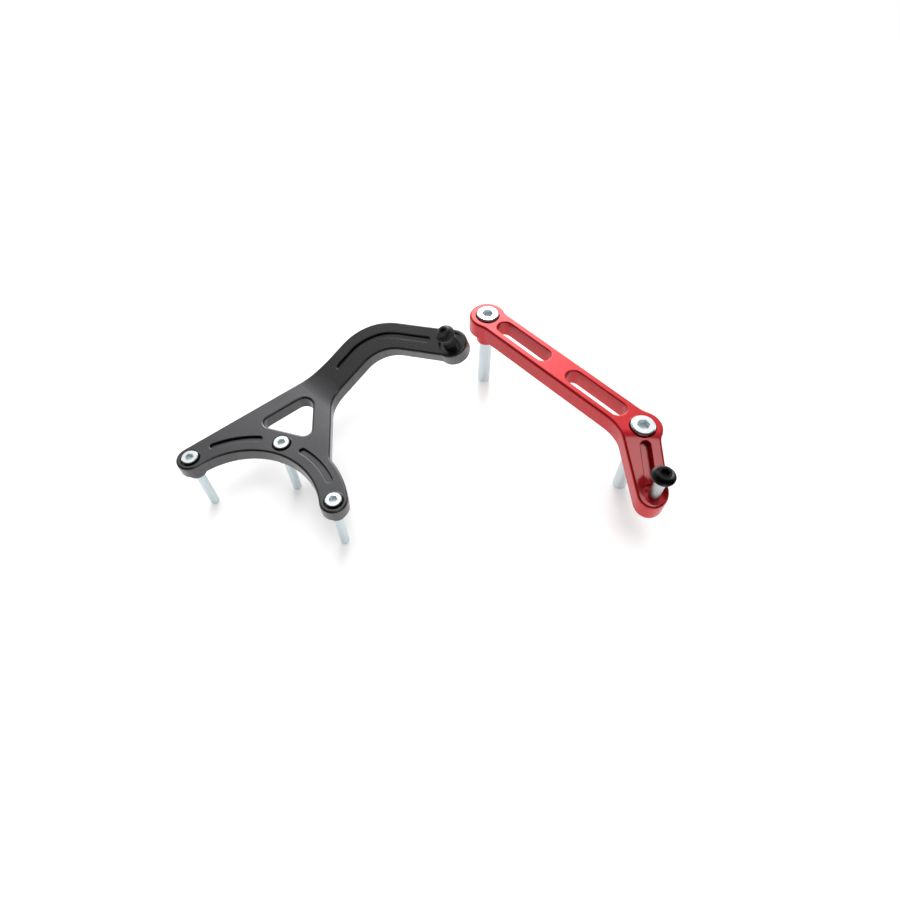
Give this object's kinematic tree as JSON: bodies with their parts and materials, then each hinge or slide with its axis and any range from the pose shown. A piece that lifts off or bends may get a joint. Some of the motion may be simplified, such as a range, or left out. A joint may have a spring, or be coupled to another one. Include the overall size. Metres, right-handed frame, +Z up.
{
  "type": "motorcycle bracket set",
  "caption": "Machined aluminium bracket set with its screws: a curved bracket with a folded arm, and a straight slotted link with a sloping leg.",
  "frame": {"origin": "on the floor that the screw points stand on, under the middle of the whole set's box", "axes": "+Z up along the cap screws, +X from the curved bracket's feet towards the link's sloping leg"},
  "size_m": [0.2558, 0.1401, 0.0792],
  "materials": {
    "black_anodised": "satin black anodised",
    "red_anodised": "satin red anodised",
    "zinc_steel": "bright zinc plated",
    "black_oxide": "black oxide, slightly oiled",
    "rubber": "matt"
  },
  "bodies": {
    "brackets": {"curved_bracket": "black_anodised", "straight_link": "red_anodised", "arm_collar": "zinc_steel", "arm_ring": "rubber"},
    "cover_screw_1": {"cover_screw_1": "zinc_steel"},
    "cover_screw_2": {"cover_screw_2": "zinc_steel"},
    "cover_screw_3": {"cover_screw_3": "zinc_steel"},
    "frame_screw_1": {"frame_screw_1": "zinc_steel"},
    "frame_screw_2": {"frame_screw_2": "zinc_steel"},
    "arm_screw": {"arm_screw": "black_oxide"},
    "panel_screw": {"panel_screw": "black_oxide"}
  },
  "joints": [
    {"name": "cover_screw_1_turn", "type": "hinge", "parent": "brackets", "child": "cover_screw_1", "pos_m": [-0.12051, -0.03672, 0.02], "axis": [0, 0, 1], "continuous": true},
    {"name": "cover_screw_2_turn", "type": "hinge", "parent": "brackets", "child": "cover_screw_2", "pos_m": [-0.0738, -0.02705, 0.02], "axis": [0, 0, 1], "continuous": true},
    {"name": "cover_screw_3_turn", "type": "hinge", "parent": "brackets", "child": "cover_screw_3", "pos_m": [-0.04207, -0.06266, 0.02], "axis": [0, 0, 1], "continuous": true},
    {"name": "frame_screw_1_turn", "type": "hinge", "parent": "brackets", "child": "frame_screw_1", "pos_m": [0.03912, 0.05926, 0.025], "axis": [0, 0, 1], "continuous": true},
    {"name": "frame_screw_2_turn", "type": "hinge", "parent": "brackets", "child": "frame_screw_2", "pos_m": [0.11711, -0.02525, 0.025], "axis": [0, 0, 1], "continuous": true},
    {"name": "arm_screw_turn", "type": "hinge", "parent": "brackets", "child": "arm_screw", "pos_m": [0.01713, 0.02589, 0.06548], "axis": [-0.3234, -0.2219, 0.9199], "continuous": true},
    {"name": "panel_screw_slide", "type": "slide", "parent": "brackets", "child": "panel_screw", "axis": [0, 0, 1], "range_m": [-0.016, 0]}
  ]
}
